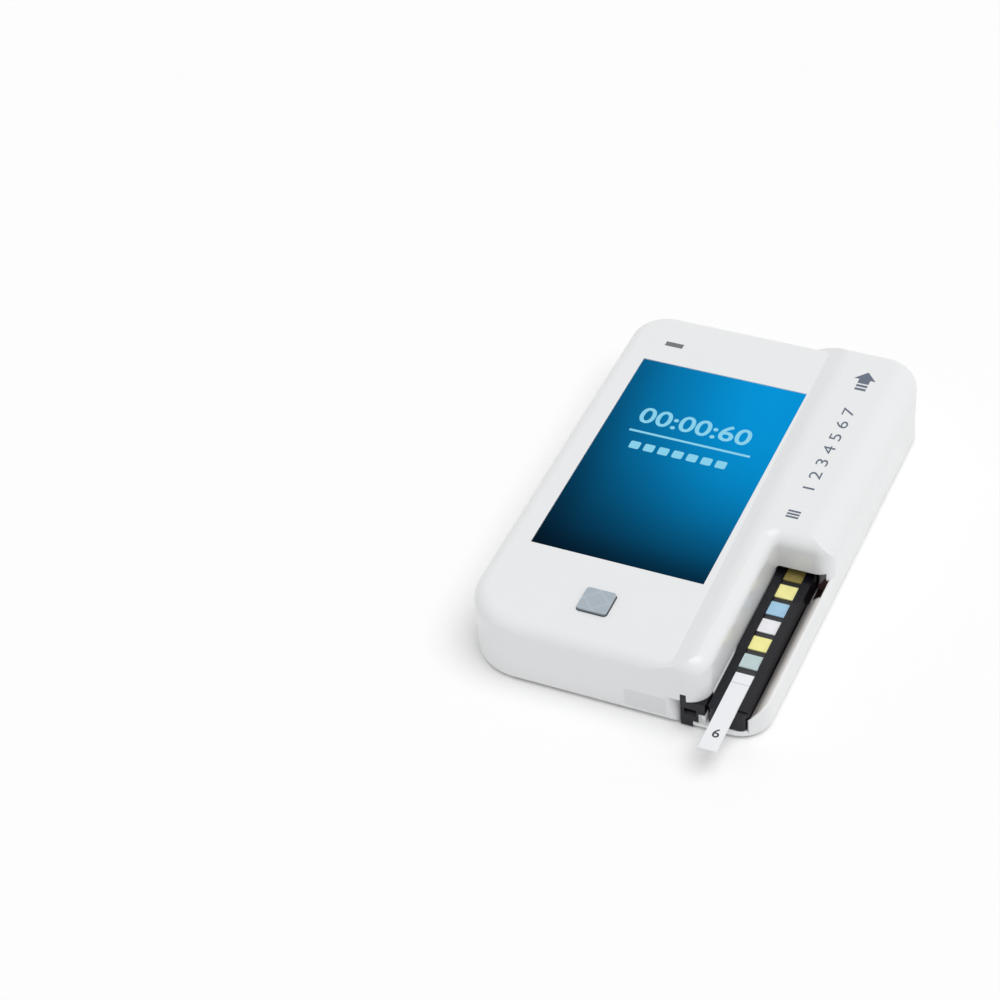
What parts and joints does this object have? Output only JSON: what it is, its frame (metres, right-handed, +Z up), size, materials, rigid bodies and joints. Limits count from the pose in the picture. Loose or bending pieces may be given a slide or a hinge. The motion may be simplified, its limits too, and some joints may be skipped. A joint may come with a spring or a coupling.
{
  "type": "handheld urine analyzer",
  "caption": "Handheld strip reader with a colour touch screen, home button and raised reader hood; a sliding tray carries the test strip in from an open channel.",
  "frame": {"origin": "bottom centre of the bounding box, strip included, on the surface that the feet stand on", "axes": "+Z up, +Y from the strip's end towards the back, +X towards the reader hood's side"},
  "size_m": [0.0852, 0.148, 0.0223],
  "materials": {
    "cover_white": "glossy moulded plastic",
    "button_grey": "satin silver-grey plastic",
    "trim_black": "satin black plastic",
    "screen_glass": "clear glass over a lit display",
    "display": "dark display cell",
    "light_pipe": "frosted clear plastic",
    "board_green": "solder-masked board",
    "chip_black": "moulded package",
    "bright_metal": "plated sheet",
    "screw_steel": "zinc-plated steel",
    "foil": "foil pouch",
    "cable_amber": "amber film",
    "foot_rubber": "soft rubber",
    "brass": "turned and hobbed brass",
    "strip_film": "white film",
    "reagent": "soaked paper pads in several colours"
  },
  "bodies": {
    "housing": {"top_cover": "cover_white", "bottom_cover": "cover_white", "battery_door": "cover_white", "guide_block": "trim_black", "reader_housing": "trim_black", "touch_panel": "screen_glass", "display_cell": "display", "display_frame": "bright_metal", "light_pipe": "light_pipe", "main_board": "board_green", "reader_board": "board_green", "processor_chip": "chip_black", "buzzer": "chip_black", "push_switch": "chip_black", "display_socket": "chip_black", "battery_socket": "chip_black", "radio_shield": "bright_metal", "charging_socket": "bright_metal", "indicator_diode": "light_pipe", "reader_diodes": "light_pipe", "reader_window": "light_pipe", "reader_lens": "screen_glass", "display_cable": "cable_amber", "battery_pack": "foil", "case_screws": "screw_steel", "board_screws": "screw_steel", "bracket_screws": "screw_steel", "door_screws": "screw_steel", "reader_screws": "screw_steel", "rubber_feet": "foot_rubber", "drive_motor": "bright_metal", "motor_bracket": "bright_metal"},
    "tray": {"strip_tray": "trim_black", "test_strip": "strip_film", "reagent_pads": "reagent"},
    "pinion": {"drive_pinion": "brass"},
    "button": {"home_button": "button_grey"}
  },
  "joints": [
    {"name": "tray_slide", "type": "slide", "parent": "housing", "child": "tray", "axis": [0, 1, 0], "range_m": [0, 0.042]},
    {"name": "pinion_spin", "type": "hinge", "parent": "housing", "child": "pinion", "pos_m": [0.0235, 0.01855, 0.004], "axis": [0, 0, 1], "range_deg": [0, 575]},
    {"name": "home_button_press", "type": "slide", "parent": "housing", "child": "button", "axis": [0, 0, -1], "range_m": [0, 0.0008], "stiffness_N_per_m": 600, "springref_m": -0.0004}
  ],
  "couplings": [
    {"joint": "pinion_spin", "follows": "tray_slide", "rad_per_m": 238.1}
  ]
}
